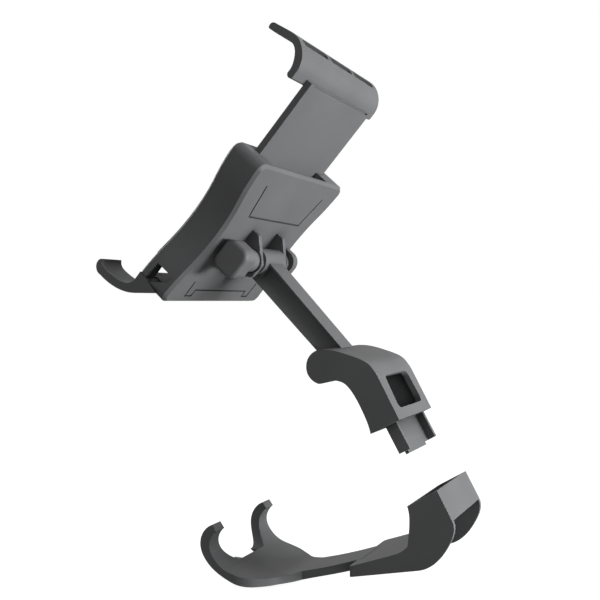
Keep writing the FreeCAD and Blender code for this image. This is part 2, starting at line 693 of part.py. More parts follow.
def fork():
    """Neck, flared plate and the two hooks, one moulding with the socket."""
    upper = [(31.2, -74.5), (24.0, -77.1), (17.5, -79.1), (14.2, -80.0), (11.1, -80.8), (8.9, -81.1),
             (4.1, -80.9), (0.0, -80.2), (-3.4, -79.0), (-5.6, -77.2), (-6.9, -75.2), (-7.2, -73.2),
             (-6.7, -71.6), (-5.2, -69.8)]
    facet = [(-5.2, -69.8), (-6.4, -68.2)]
    lower = [(-6.4, -68.2), (-8.7, -69.9), (-9.6, -71.5), (-9.9, -73.4), (-9.4, -75.6), (-8.2, -77.5),
             (-6.5, -79.2), (-4.2, -80.7), (-1.6, -81.9), (1.4, -82.8), (4.9, -83.1), (9.0, -83.0),
             (13.8, -82.3), (17.5, -81.2), (24.0, -79.3), (31.2, -76.8)]
    body = side_prism([upper, facet, lower, [lower[-1], upper[0]]], -FORK_HALF, FORK_HALF)
    flare = [(14.6, -6.6), (12.6, -8.0), (11.1, -9.0), (9.8, -10.0), (8.7, -11.2), (6.6, -13.1),
             (4.1, -14.9), (1.6, -15.8), (-1.0, -16.0)]
    mirror = [(x, -y) for x, y in reversed(flare)]
    plan = [[(32.0, -6.6), flare[0]], flare, [flare[-1], (-13.0, -FORK_HALF)],
            [(-13.0, -FORK_HALF), (-13.0, FORK_HALF)], [(-13.0, FORK_HALF), mirror[0]], mirror,
            [mirror[-1], (32.0, 6.6)], [(32.0, 6.6), (32.0, -6.6)]]
    body = body.common(plan_prism(plan, -90.0, -60.0))
    cuts = [box(-14.0, GAP_END, -FORK_GAP, FORK_GAP, -90.0, -60.0)]
    for side in (-1, 1):
        swell = [(FORK_GAP, -79.4), (HOOK_IN - 4.3, -78.7), (HOOK_IN - 2.3, -77.2), (HOOK_IN - 1.1, -75.4),
                 (HOOK_IN - 0.5, -73.4), (HOOK_IN, -70.5)]
        swell = [(side * y, z) for y, z in swell]
        base = (side * (FORK_GAP - 1.0), -79.4)
        top = (side * (FORK_GAP - 1.0), -66.0)
        brow = (side * HOOK_IN, -66.0)
        runs = [[base, swell[0]], swell, [swell[-1], brow], [brow, top], [top, base]]
        cuts.append(end_prism(runs, -14.0, GAP_END))
    return body.cut(cuts)


def lower_clip():
    """Socket and fork as one moulding."""
    return joined([socket(), fork()])


HOLDER_PIECES = {
    "rear_shell": rear_shell,
    "front_cover": front_cover,
    "phone_pad": phone_pad,
    "housing_screws": housing_screws,
    "friction_leaf": friction_leaf,
    "leaf_screw": leaf_screw,
    "hinge_nut": hinge_nut,
    "slide_plate": slide_plate,
    "upper_jaw": upper_jaw,
    "jaw_screws": jaw_screws,
    "jaw_pad": jaw_pad,
    "hinge_bolt": hinge_bolt,
    "thumb_knob": thumb_knob,
    "knob_washer": knob_washer,
}

SIDE_VIEW_PIECES = {
    "saddle_shell": saddle_shell,
    "saddle_pad": saddle_pad,
    "arm": arm,
    "arm_screw": arm_screw,
    "lower_clip": lower_clip,
}

for name, make in HOLDER_PIECES.items():
    in_holder(make()).exportStep("parts/" + name + ".step")

for name, make in SIDE_VIEW_PIECES.items():
    in_side_view(make()).exportStep("parts/" + name + ".step")
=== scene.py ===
"""Looks of a phone holder that clips over a game controller.

The holder is moulded in matte charcoal plastic. A waisted housing carries two
claws and a sliding jaw, a thumb knob locks its tilt, and a fluted arm joins it
to the saddle. The hooked lower clip pushes onto the tongue under the saddle.
"""

import logging
import math
from dataclasses import dataclass
from enum import Enum
from typing import Callable, Iterable, Protocol, Sequence

import bpy
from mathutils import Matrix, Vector

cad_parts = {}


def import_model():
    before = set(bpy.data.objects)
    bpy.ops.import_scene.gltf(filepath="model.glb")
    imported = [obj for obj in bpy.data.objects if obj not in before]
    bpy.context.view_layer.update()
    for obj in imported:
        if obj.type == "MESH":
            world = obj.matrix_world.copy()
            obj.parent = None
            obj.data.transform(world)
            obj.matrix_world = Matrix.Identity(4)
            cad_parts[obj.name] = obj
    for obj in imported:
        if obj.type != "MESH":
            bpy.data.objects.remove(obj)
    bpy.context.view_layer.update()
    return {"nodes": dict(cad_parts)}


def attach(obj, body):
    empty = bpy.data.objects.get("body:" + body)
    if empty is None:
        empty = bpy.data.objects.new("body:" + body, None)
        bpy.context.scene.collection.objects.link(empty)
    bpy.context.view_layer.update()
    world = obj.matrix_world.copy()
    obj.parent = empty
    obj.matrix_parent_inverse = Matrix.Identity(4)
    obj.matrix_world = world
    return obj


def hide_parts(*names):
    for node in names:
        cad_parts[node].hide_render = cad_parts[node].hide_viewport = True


LOG = logging.getLogger("controller_phone_clip")
MM = 0.001

Point = tuple[float, float, float]
Colour = tuple[float, float, float]
Pieces = dict[str, bpy.types.Object]

# Zeros of the side view and of the holder's own axes in millimetres, and the holder's slope
SIDE_VIEW_ZERO = (-27.5, 30.5)
HOLDER_ZERO = (13.05 + SIDE_VIEW_ZERO[0], 20.92 + SIDE_VIEW_ZERO[1])
HOLDER_TILT = math.radians(48.2)

# Points nearer than this many metres are merged, and faces flatter than this many degrees joined
WELD = 0.000004
FLAT_DEGREES = 0.8

# How far large faces outweigh small ones in the normals, from 1 to 100, where 50 is neutral
FACE_WEIGHT = 50

# Sides of the round rods
FLUTE_SIDES = 96
NECK_SIDES = 64

# An edge of the knob is in a face when both its ends are this near to it, in metres
ON_FACE = 1e-6

# An edge of the knob runs across when the width takes this share of its length
ACROSS = 0.99

# What the finishes share: scales are per metre, and the grain's height is in metres
SHEEN_ROUGHNESS = 0.6
DRIFT_SCALE = 70.0
DRIFT_DETAIL = 3.0
DRIFT_START = 0.3
DRIFT_END = 0.75
# Samples of the ambient occlusion that paints shade into each piece's own corners
CORNER_SHADE_SAMPLES = 12
GRAIN_DETAIL = 4.0
GRAIN_ROUGHNESS = 0.6
GRAIN_HEIGHT = 0.00006
ROUGHNESS_BELOW = 0.05
ROUGHNESS_ABOVE = 0.07

WHITE = (1.0, 1.0, 1.0, 1.0)


class Shade(Enum):
    """Names of the finishes."""

    PLASTIC = "charcoal_plastic"
    KNOB = "dark_knob_plastic"
    RUBBER = "soft_rubber"
    STEEL = "zinc_plated_steel"
    DARK_STEEL = "blackened_steel"
    SPRING = "blued_spring_steel"
    FLOOR = "white_sweep"


class Slot(Enum):
    """Names of the material slots."""

    PLASTIC = "black_plastic"
    PAD = "soft_pad"


class Axes(Enum):
    """Axes in which an opening's corners are given."""

    HOLDER = "holder"
    SIDE_VIEW = "side_view"


class Body(Enum):
    """Moving bodies of the model."""

    SADDLE = "saddle"
    HOLDER = "holder"
    SLIDER = "slider"
    KNOB = "knob"
    CLIP = "clip"


def from_holder(u: float, y: float, f: float) -> Vector:
    """Place of a point given in the holder's own axes.

    Args:
        u: millimetres along the housing, towards the jaw.
        y: millimetres across the width.
        f: millimetres from the housing's back towards the phone.

    Returns:
        The point in metres in the model's frame.
    """
    x = HOLDER_ZERO[0] + u * math.cos(HOLDER_TILT) - f * math.sin(HOLDER_TILT)
    z = HOLDER_ZERO[1] + u * math.sin(HOLDER_TILT) + f * math.cos(HOLDER_TILT)
    return Vector((x, y, z)) * MM


def from_side_view(x: float, y: float, z: float) -> Vector:
    """Place of a point of the side view, whose zero is near the hinge.

    Args:
        x: millimetres to the right of the hinge.
        y: millimetres across the width.
        z: millimetres above the hinge.

    Returns:
        The point in metres in the model's frame.
    """
    return Vector((x + SIDE_VIEW_ZERO[0], y, z + SIDE_VIEW_ZERO[1])) * MM


def along_line(points: Sequence[tuple[float, float]], share: float) -> tuple[float, float]:
    """Place on a run of points.

    Args:
        points: points of the run.
        share: share of the run's length, from 0 to 1.

    Returns:
        The place.
    """
    runs = list(zip(points[:-1], points[1:]))
    lengths = [math.dist(start, end) for start, end in runs]
    goal = max(0.0, min(1.0, share)) * sum(lengths)
    for (start, end), length in zip(runs, lengths):
        if goal <= length or end == points[-1]:
            part = min(1.0, goal / length)
            return start[0] + (end[0] - start[0]) * part, start[1] + (end[1] - start[1]) * part
        goal -= length
    return points[-1]


def deselect_all() -> None:
    """Deselect every object, because an operator acts on all that is selected."""
    bpy.ops.object.select_all(action="DESELECT")


def select_only(piece: bpy.types.Object) -> None:
    """Make one object the active and only selected one.

    Args:
        piece: the object to work on.
    """
    if bpy.context.mode != "OBJECT":
        bpy.ops.object.mode_set(mode="OBJECT")
    deselect_all()
    piece.select_set(True)
    bpy.context.view_layer.objects.active = piece


def rename(piece: bpy.types.Object, name: str) -> None:
    """Give an object and its mesh one name."""
    piece.name = name
    piece.data.name = name


def apply_all(piece: bpy.types.Object) -> None:
    """Apply each modifier of a piece in order.

    Args:
        piece: the object whose modifiers are made real.
    """
    select_only(piece)
    for modifier in list(piece.modifiers):
        bpy.ops.object.modifier_apply(modifier=modifier.name)


def settle(piece: bpy.types.Object) -> None:
    """Put a piece's place into its mesh, so that its object is at the origin."""
    select_only(piece)
    bpy.ops.object.transform_apply(location=True, rotation=True, scale=True)


def close_mesh(piece: bpy.types.Object) -> None:
    """Merge a mesh's doubled points and join its flat faces.

    Args:
        piece: the piece, copied as loose triangles or just cut.
    """
    select_only(piece)
    bpy.ops.object.mode_set(mode="EDIT")
    bpy.ops.mesh.select_all(action="SELECT")
    bpy.ops.mesh.remove_doubles(threshold=WELD)
    bpy.ops.mesh.dissolve_limited(angle_limit=math.radians(FLAT_DEGREES))
    bpy.ops.mesh.select_all(action="DESELECT")
    bpy.ops.object.mode_set(mode="OBJECT")


def keep_flats_flat(piece: bpy.types.Object) -> None:
    """Weigh the normals by face area, so that only the rounded edges blend.

    Args:
        piece: the smooth-shaded object.
    """
    weigh = piece.modifiers.new("flats", "WEIGHTED_NORMAL")
    weigh.mode = "FACE_AREA"
    weigh.weight = FACE_WEIGHT
    weigh.keep_sharp = True
    apply_all(piece)


@dataclass(frozen=True)
class Edges:
    """How a kind of piece has its edges rounded and shaded.

    Attributes:
        steps: faces across a rounded edge.
        round_above: angle in degrees above which an edge is rounded.
        crisp_above: angle in degrees above which the shading stays crisp.
    """

    steps: int
    round_above: float
    crisp_above: float

    def soften(self, piece: bpy.types.Object, width_mm: float) -> None:
        """Round the edges of a piece.

        Args:
            piece: the piece.
            width_mm: width of the rounding.
        """
        edge = piece.modifiers.new("edge", "BEVEL")
        edge.width = width_mm * MM
        edge.segments = self.steps
        edge.limit_method = "ANGLE"
        edge.angle_limit = math.radians(self.round_above)
        edge.use_clamp_overlap = True
        apply_all(piece)

    def smooth(self, piece: bpy.types.Object) -> None:
        """Shade a piece smooth between its crisp edges."""
        select_only(piece)
        bpy.ops.object.shade_smooth_by_angle(angle=math.radians(self.crisp_above))


MOULDED_EDGES = Edges(steps=2, round_above=34.0, crisp_above=30.0)
FINE_EDGES = Edges(steps=3, round_above=50.0, crisp_above=32.0)


@dataclass(frozen=True)
class Finish:
    """A procedural finish.

    Attributes:
        shade: name of the finish.
        colour: base colour, linear.
        second: colour that the base drifts to in a large soft pattern.
        roughness: mean roughness.
        metallic: 1 for bare metal.
        grain_mm: size of the fine surface grain.
        bump: strength of the grain.
        sheen: weight of the soft sheen.
        specular: level of the plain reflection.
        corner_shade_mm: reach of the painted shade that ambient occlusion puts in a piece's own
            corners, 0 for none.
    """

    shade: Shade
    colour: Colour
    second: Colour
    roughness: float
    metallic: float = 0.0
    grain_mm: float = 0.22
    bump: float = 0.25
    sheen: float = 0.0
    specular: float = 0.5
    corner_shade_mm: float = 0.0

    def material(self) -> bpy.types.Material:
        """Build the node material once, then hand out the same one.

        Returns:
            The material.
        """
        found = bpy.data.materials.get(self.shade.value)
        if found is not None:
            return found
        made = bpy.data.materials.new(self.shade.value)
        made.use_nodes = True
        tree = made.node_tree
        shader = tree.nodes["Principled BSDF"]
        shader.inputs["Metallic"].default_value = self.metallic
        shader.inputs["Sheen Weight"].default_value = self.sheen
        shader.inputs["Sheen Roughness"].default_value = SHEEN_ROUGHNESS
        shader.inputs["Specular IOR Level"].default_value = self.specular
        place = tree.nodes.new("ShaderNodeTexCoord").outputs["Object"]
        colour = self.drifting_colour(tree, place)
        # Painted shade: ambient occlusion darkens the base colour in each piece's own corners
        if self.corner_shade_mm > 0.0:
            colour = self.painted_corner_shade(tree, colour)
        tree.links.new(colour, shader.inputs["Base Color"])
        self.add_grain(tree, place, shader)
        return made

    def drifting_colour(
        self, tree: bpy.types.NodeTree, place: bpy.types.NodeSocket
    ) -> bpy.types.NodeSocket:
        """Colour that drifts softly over the piece.

        Args:
            tree: the material's nodes.
            place: the point on the piece.

        Returns:
            The colour.
        """
        drift = tree.nodes.new("ShaderNodeTexNoise")
        drift.inputs["Scale"].default_value = DRIFT_SCALE
        drift.inputs["Detail"].default_value = DRIFT_DETAIL
        tree.links.new(place, drift.inputs["Vector"])
        ramp = tree.nodes.new("ShaderNodeValToRGB")
        start, end = ramp.color_ramp.elements
        start.position = DRIFT_START
        end.position = DRIFT_END
        start.color = (*self.colour, 1.0)
        end.color = (*self.second, 1.0)
        tree.links.new(drift.outputs["Fac"], ramp.inputs["Fac"])
        return ramp.outputs["Color"]

    def painted_corner_shade(
        self, tree: bpy.types.NodeTree, colour: bpy.types.NodeSocket
    ) -> bpy.types.NodeSocket:
        """Darken a colour with painted shade in the piece's own corners, from ambient occlusion.

        Args:
            tree: the material's nodes.
            colour: the clean colour.

        Returns:
            The dusty colour.
        """
        corners = tree.nodes.new("ShaderNodeAmbientOcclusion")
        corners.only_local = True
        corners.samples = CORNER_SHADE_SAMPLES
        corners.inputs["Distance"].default_value = self.corner_shade_mm * MM
        tree.links.new(colour, corners.inputs["Color"])
        return corners.outputs["Color"]

    def add_grain(
        self, tree: bpy.types.NodeTree, place: bpy.types.NodeSocket, shader: bpy.types.Node
    ) -> None:
        """Give the shader its fine grain, in roughness and in bump.

        Args:
            tree: the material's nodes.
            place: the point on the piece.
            shader: the surface shader.
        """
        grain = tree.nodes.new("ShaderNodeTexNoise")
        grain.inputs["Scale"].default_value = 1.0 / (self.grain_mm * MM * 2.0)
        grain.inputs["Detail"].default_value = GRAIN_DETAIL
        grain.inputs["Roughness"].default_value = GRAIN_ROUGHNESS
        tree.links.new(place, grain.inputs["Vector"])
        spread = tree.nodes.new("ShaderNodeMapRange")
        spread.inputs["To Min"].default_value = self.roughness - ROUGHNESS_BELOW
        spread.inputs["To Max"].default_value = self.roughness + ROUGHNESS_ABOVE
        tree.links.new(grain.outputs["Fac"], spread.inputs["Value"])
        tree.links.new(spread.outputs["Result"], shader.inputs["Roughness"])
        bump = tree.nodes.new("ShaderNodeBump")
        bump.inputs["Strength"].default_value = self.bump
        bump.inputs["Distance"].default_value = GRAIN_HEIGHT
        tree.links.new(grain.outputs["Fac"], bump.inputs["Height"])
        tree.links.new(bump.outputs["Normal"], shader.inputs["Normal"])

    def dress(self, piece: bpy.types.Object) -> None:
        """Give the finish to every slot of a piece.

        Args:
            piece: the object that gets the finish.
        """
        if not piece.material_slots:
            piece.data.materials.append(self.material())
        for place in piece.material_slots:
            place.material = self.material()


PLASTIC = Finish(
    Shade.PLASTIC,
    colour=(0.072, 0.073, 0.075),
    second=(0.083, 0.084, 0.086),
    roughness=0.52,
    grain_mm=0.16,
    bump=0.18,
    specular=0.14,
    # painted shade from ambient occlusion in the plastic's own corners, reaching 5 mm
    corner_shade_mm=5.0,
)
KNOB_PLASTIC = Finish(
    Shade.KNOB,
    colour=(0.074, 0.075, 0.077),
    second=(0.084, 0.085, 0.087),
    roughness=0.5,
    grain_mm=0.14,
    bump=0.16,
    specular=0.2,
)
RUBBER = Finish(
    Shade.RUBBER,
    colour=(0.035, 0.035, 0.037),
    second=(0.045, 0.045, 0.047),
    roughness=0.75,
    grain_mm=0.3,
    bump=0.4,
    sheen=0.1,
    specular=0.25,
)
STEEL = Finish(
    Shade.STEEL,
    colour=(0.55, 0.55, 0.57),
    second=(0.66, 0.66, 0.67),
    roughness=0.3,
    metallic=1.0,
    grain_mm=0.1,
    bump=0.1,
)
DARK_STEEL = Finish(
    Shade.DARK_STEEL,
    colour=(0.07, 0.07, 0.072),
    second=(0.1, 0.1, 0.105),
    roughness=0.45,
    metallic=1.0,
    grain_mm=0.1,
    bump=0.1,
)
SPRING = Finish(
    Shade.SPRING,
    colour=(0.32, 0.33, 0.36),
    second=(0.42, 0.43, 0.45),
    roughness=0.35,
    metallic=1.0,
    grain_mm=0.1,
    bump=0.1,
)

NODE_FINISH: dict[str, Finish] = {
    "arm_screw": STEEL,
    "housing_screws": STEEL,
    "leaf_screw": STEEL,
    "jaw_screws": STEEL,
    "hinge_nut": DARK_STEEL,
    "hinge_bolt": DARK_STEEL,
    "knob_washer": DARK_STEEL,
    "friction_leaf": SPRING,
    "phone_pad": RUBBER,
    "jaw_pad": RUBBER,
    "saddle_pad": RUBBER,
}


class Cut(Protocol):
    """Shape that is taken out of a moulded piece."""

    def tool(self) -> bpy.types.Object:
        """Closed body that fills the cut."""


@dataclass(frozen=True)
class Opening:
    """Opening with straight sides, given by two corners.

    Attributes:
        low: lowest corner, u y f of the holder or x y z of the side view.
        high: highest corner, in the same axes.
        axes: the axes of the two corners.
    """

    low: Point
    high: Point
    axes: Axes = Axes.HOLDER

    def tool(self) -> bpy.types.Object:
        """Block that fills the opening.

        Returns:
            The block.
        """
        middle = [(a + b) / 2.0 for a, b in zip(self.low, self.high)]
        spans = [(b - a) * MM for a, b in zip(self.low, self.high)]
        leaning = self.axes is Axes.HOLDER
        deselect_all()
        bpy.ops.mesh.primitive_cube_add(
            size=1.0,
            location=from_holder(*middle) if leaning else from_side_view(*middle),
            rotation=(0.0, -HOLDER_TILT if leaning else 0.0, 0.0),
            scale=tuple(spans),
        )
        return bpy.context.object


@dataclass(frozen=True)
class Flute:
    """Hollow along both sides of the arm, given in the side view.

    Attributes:
        start: x and z of its upper end.
        end: x and z of its lower end.
        radius: radius of the hollow.
        side: distance of the hollow's axis from the middle.
    """

    start: tuple[float, float]
    end: tuple[float, float]
    radius: float
    side: float

    def tool(self) -> bpy.types.Object:
        """Rods that fill the hollows of both sides.

        Returns:
            The two rods as one object.
        """
        high = from_side_view(self.start[0], 0.0, self.start[1])
        low = from_side_view(self.end[0], 0.0, self.end[1])
        rods = []
        for side in (-self.side, self.side):
            deselect_all()
            bpy.ops.mesh.primitive_cylinder_add(
                vertices=FLUTE_SIDES,
                radius=self.radius * MM,
                depth=(low - high).length,
                location=(high + low) / 2.0 + Vector((0.0, side * MM, 0.0)),
                rotation=(low - high).to_track_quat("Z", "Y").to_euler(),
            )
            rods.append(bpy.context.object)
        rods[0].select_set(True)
        bpy.ops.object.join()
        return bpy.context.object


@dataclass(frozen=True)
class RaisedPlate:
    """Low plate of the solid round the hinge's ears, levelled with the housing's back.

    Attributes:
        along: where the cuts start and end along the housing.
        half: half width of the cuts.
        height: reach of the cuts behind the housing's back.
        ears: where the ears start and end along the housing.
        ear_sides: inner and outer face of an ear, from the middle.
    """

    along: tuple[float, float] = (-36.0, -14.6)
    half: float = 10.2
    height: float = 0.9
    ears: tuple[float, float] = (-31.4, -18.0)
    ear_sides: tuple[float, float] = (6.2, 7.7)

    def cuts(self) -> tuple[Opening, ...]:
        """Openings that level the plate.

        Returns:
            The openings beside the ears, then those past their ends.
        """
        start, end = self.along
        inner, outer = self.ear_sides
        bands = ((-self.half, -outer), (-inner, inner), (outer, self.half))
        ends = ((start, self.ears[0]), (self.ears[1], end))
        beside = [Opening((start, low, -self.height), (end, high, 0.0)) for low, high in bands]
        past = [
            Opening((low, -self.half, -self.height), (high, self.half, 0.0)) for low, high in ends
        ]
        return tuple(beside + past)


def cut_away(piece: bpy.types.Object, tool: bpy.types.Object) -> None:
    """Cut a closed tool out of a closed piece, then drop the tool.

    Args:
        piece: the piece that is cut.
        tool: the block or rod that is taken away.
    """
    settle(tool)
    cut = piece.modifiers.new("opening", "BOOLEAN")
    cut.operation = "DIFFERENCE"
    cut.solver = "EXACT"
    cut.object = tool
    apply_all(piece)
    bpy.data.objects.remove(tool)


@dataclass(frozen=True)
class Moulding:
    """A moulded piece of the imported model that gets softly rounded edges.

    Attributes:
        node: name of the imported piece.
        name: name of the finished piece.
        body: the moving body that it rides on.
        round_mm: width of the rounding.
        cuts: openings and hollows that are cut before the rounding.
    """

    node: str
    name: str
    body: Body
    round_mm: float
    cuts: tuple[Cut, ...] = ()

    def build(self, packed: Pieces) -> bpy.types.Object:
        """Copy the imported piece, close its mesh and round its edges.

        Args:
            packed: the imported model's pieces by name.

        Returns:
            The finished piece.
        """
        piece = bpy.data.objects.new(self.name, packed[self.node].data.copy())
        bpy.context.scene.collection.objects.link(piece)
        close_mesh(piece)
        for cut in self.cuts:
            cut_away(piece, cut.tool())
        if self.cuts:
            close_mesh(piece)
        MOULDED_EDGES.soften(piece, self.round_mm)
        MOULDED_EDGES.smooth(piece)
        keep_flats_flat(piece)
        PLASTIC.dress(piece)
        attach(piece, self.body.value)
        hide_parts(self.node)
        return piece


@dataclass(frozen=True)
class RubberPad:
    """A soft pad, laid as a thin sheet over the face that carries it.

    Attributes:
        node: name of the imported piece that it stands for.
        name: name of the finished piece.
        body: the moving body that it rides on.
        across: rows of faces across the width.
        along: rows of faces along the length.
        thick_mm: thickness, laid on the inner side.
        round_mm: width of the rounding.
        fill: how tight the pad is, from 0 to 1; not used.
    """

    node: str
    name: str
    body: Body
    across: int
    along: int
    thick_mm: float
    round_mm: float
    fill: float = 0.9

    def build(self, shape: Callable[[float, float], Vector]) -> bpy.types.Object:
        """Lay a grid over the pad's face, give it thickness and round its edges.

        Args:
            shape: place of a point of the face, from two shares between 0 and 1.

        Returns:
            The finished piece.
        """
        deselect_all()
        bpy.ops.mesh.primitive_grid_add(
            x_subdivisions=self.along, y_subdivisions=self.across, size=1.0
        )
        piece = bpy.context.object
        rename(piece, self.name)
        for vertex in piece.data.vertices:
            vertex.co = shape(vertex.co.x + 0.5, vertex.co.y + 0.5)
        wall = piece.modifiers.new("wall", "SOLIDIFY")
        wall.thickness = self.thick_mm * MM
        wall.offset = -1.0
        apply_all(piece)
        FINE_EDGES.soften(piece, self.round_mm)
        FINE_EDGES.smooth(piece)
        RUBBER.dress(piece)
        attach(piece, self.body.value)
        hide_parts(self.node)
        return piece


@dataclass
class PhoneHolder:
    """Waisted housing with its claws, and the pad that the phone rests on.

    Lengths are in millimetres, in the holder's axes.

    Attributes:
        length: length of the housing.
        end_half: half width at the ends.
        waist_half: half width at the waist.
        back_round: rounding of the housing's edges.
        front_round: rounding of the cover's edges.
        mouth: opening behind the slide at the jaw's end.
        plate: low plate round the ears that is levelled.
        pad_inset: margin round the pad.
        pad_length: length of the pad's full width.
        pad_top: height of the pad's face above the housing's back.
        corner_share: share of the half length in which the pad's corners draw in.
        corner_draw: how far the corners draw in.
        rib_height: height of the pad's ribs over their mean.
        rib_pitch: distance between the ribs.
        rib_sink: depth of the ribs' mean under the pad's top.
        rim_share: share of the pad that its plain rim takes.
        rim_sink: depth of the rim and the tail under the pad's top.
        tail_gap: gap between the pad and its tail.
        tail_length: length of the narrow tail between the two front windows.
        tail_half: half width of the tail.
        pad: the pad's sheet.
        tail: the tail's sheet.
    """

    length: float = 43.5
    end_half: float = 25.0
    waist_half: float = 21.5
    back_round: float = 0.1
    front_round: float = 0.08
    mouth: Opening = Opening((-2.4, -18.4, 1.25), (1.0, 14.4, 5.7))
    plate: RaisedPlate = RaisedPlate()
    pad_inset: float = 1.85
    pad_length: float = 34.8
    pad_top: float = 10.5
    corner_share: float = 0.07
    corner_draw: float = 1.1
    rib_height: float = 0.045
    rib_pitch: float = 2.9
    rib_sink: float = 0.06
    rim_share: float = 0.05
    rim_sink: float = 0.03
    tail_gap: float = 0.05
    tail_length: float = 4.9
    tail_half: float = 3.3
    pad: RubberPad = RubberPad(
        "phone_pad", "phone_rest", Body.HOLDER, across=20, along=96, thick_mm=0.36, round_mm=0.12
    )
    tail: RubberPad = RubberPad(
        "phone_pad", "phone_rest_tail", Body.HOLDER, across=8, along=6, thick_mm=0.36, round_mm=0.12
    )

    def half_width(self, u: float) -> float:
        """Half width of the housing at a place along its length.

        Args:
            u: place along the housing, 0 at the jaw's end.

        Returns:
            The half width in millimetres.
        """
        quarter = self.length / 4.0
        rise = (self.end_half - self.waist_half) / 2.0
        radius = (quarter * quarter + rise * rise) / (2.0 * rise)
        from_end = min(-u, self.length + u)
        if from_end < quarter:
            return self.end_half - radius + math.sqrt(radius * radius - from_end * from_end)
        from_waist = u + self.length / 2.0
        return self.waist_half + radius - math.sqrt(radius * radius - from_waist * from_waist)

    def pad_point(self, along: float, across: float) -> Vector:
        """Point of the pad's face, with its low ribs.

        Args:
            along: share of the way down the pad.
            across: share of the way over its width.

        Returns:
            The point in metres.
        """
        u = -self.pad_inset - along * self.pad_length
        past_middle = abs(along - 0.5) * 2.0
        near_end = max(0.0, past_middle - 1.0 + self.corner_share) / self.corner_share
        half = self.half_width(u) - self.pad_inset - self.corner_draw * near_end * near_end
        turns = along * self.pad_length / self.rib_pitch
        rib = self.rib_height * math.cos(turns * 2.0 * math.pi)
        on_rim = min(along, 1.0 - along, across, 1.0 - across) <= self.rim_share
        lift = -self.rim_sink if on_rim else rib - self.rib_sink
        return from_holder(u, (across - 0.5) * 2.0 * half, self.pad_top + lift)

    def tail_point(self, along: float, across: float) -> Vector:
        """Point of the face of the pad's narrow tail."""
        u = -self.pad_inset - self.pad_length - self.tail_gap - along * self.tail_length
        return from_holder(u, (across - 0.5) * 2.0 * self.tail_half, self.pad_top - self.rim_sink)

    def build(self, packed: Pieces) -> list[bpy.types.Object]:
        """Build the pieces of the holder.

        Args:
            packed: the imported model's pieces by name.

        Returns:
            The new pieces.
        """
        cuts = (self.mouth, *self.plate.cuts())
        back = Moulding("rear_shell", "housing_back", Body.HOLDER, self.back_round, cuts)
        front = Moulding("front_cover", "housing_front", Body.HOLDER, self.front_round)
        made = [back.build(packed), front.build(packed)]
        return made + [self.pad.build(self.pad_point), self.tail.build(self.tail_point)]


@dataclass
class SlidingJaw:
    """Upper jaw on its slide, with its grip pad.

    Lengths are in millimetres, in the holder's axes.

    Attributes:
        slide_round: rounding of the slide's edges.
        jaw_round: rounding of the jaw's edges.
        face: u and f of the line that the grip pad's face follows.
        pad_half: half length of the grip pad.
        rib_height: height of the pad's ribs over their mean.
        rib_pitch: distance between the ribs.
        rib_sink: depth of the ribs' mean behind the line.
        rim_along: share of the pad's height that its plain rim takes.
        rim_across: share of the pad's length that the rim takes.
        rim_sink: depth of the rim behind the line.
        joint_gap: gap between the slide and the jaw.
        pad: the pad's sheet.
    """

    slide_round: float = 0.12
    jaw_round: float = 0.22
    face: tuple[tuple[float, float], ...] = ((24.67, 19.25), (24.82, 17.9), (25.13, 16.4))
    pad_half: float = 11.9
    rib_height: float = 0.03
    rib_pitch: float = 2.4
    rib_sink: float = 0.05
    rim_along: float = 0.04
    rim_across: float = 0.02
    rim_sink: float = 0.02
    joint_gap: Opening = Opening((20.9, -17.6, 5.0), (21.7, 18.2, 6.3))
    pad: RubberPad = RubberPad(
        "jaw_pad", "jaw_grip", Body.SLIDER, across=90, along=8, thick_mm=0.4, round_mm=0.1
    )

    def grip_point(self, along: float, across: float) -> Vector:
        """Point of the grip pad's face, with its fine ribs.

        Args:
            along: share of the way down the face.
            across: share of the way over its length.

        Returns:
            The point in metres.
        """
        u, f = along_line(self.face, along)
        turns = across * 2.0 * self.pad_half / self.rib_pitch
        rib = self.rib_height * math.cos(turns * 2.0 * math.pi)
        ribbed_along = min(along, 1.0 - along) > self.rim_along
        ribbed_across = min(across, 1.0 - across) > self.rim_across
        sink = self.rib_sink - rib if ribbed_along and ribbed_across else self.rim_sink
        return from_holder(u + sink, (across - 0.5) * 2.0 * self.pad_half, f)

    def build(self, packed: Pieces) -> list[bpy.types.Object]:
        """Build the jaw's pieces.

        Args:
            packed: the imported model's pieces by name.

        Returns:
            The new pieces.
        """
        grip = self.pad.build(self.grip_point)
        cuts = (self.joint_gap,)
        slide = Moulding("slide_plate", "slide_bar", Body.SLIDER, self.slide_round, cuts)
        jaw = Moulding("upper_jaw", "jaw_moulding", Body.SLIDER, self.jaw_round)
        return [slide.build(packed), jaw.build(packed), grip]


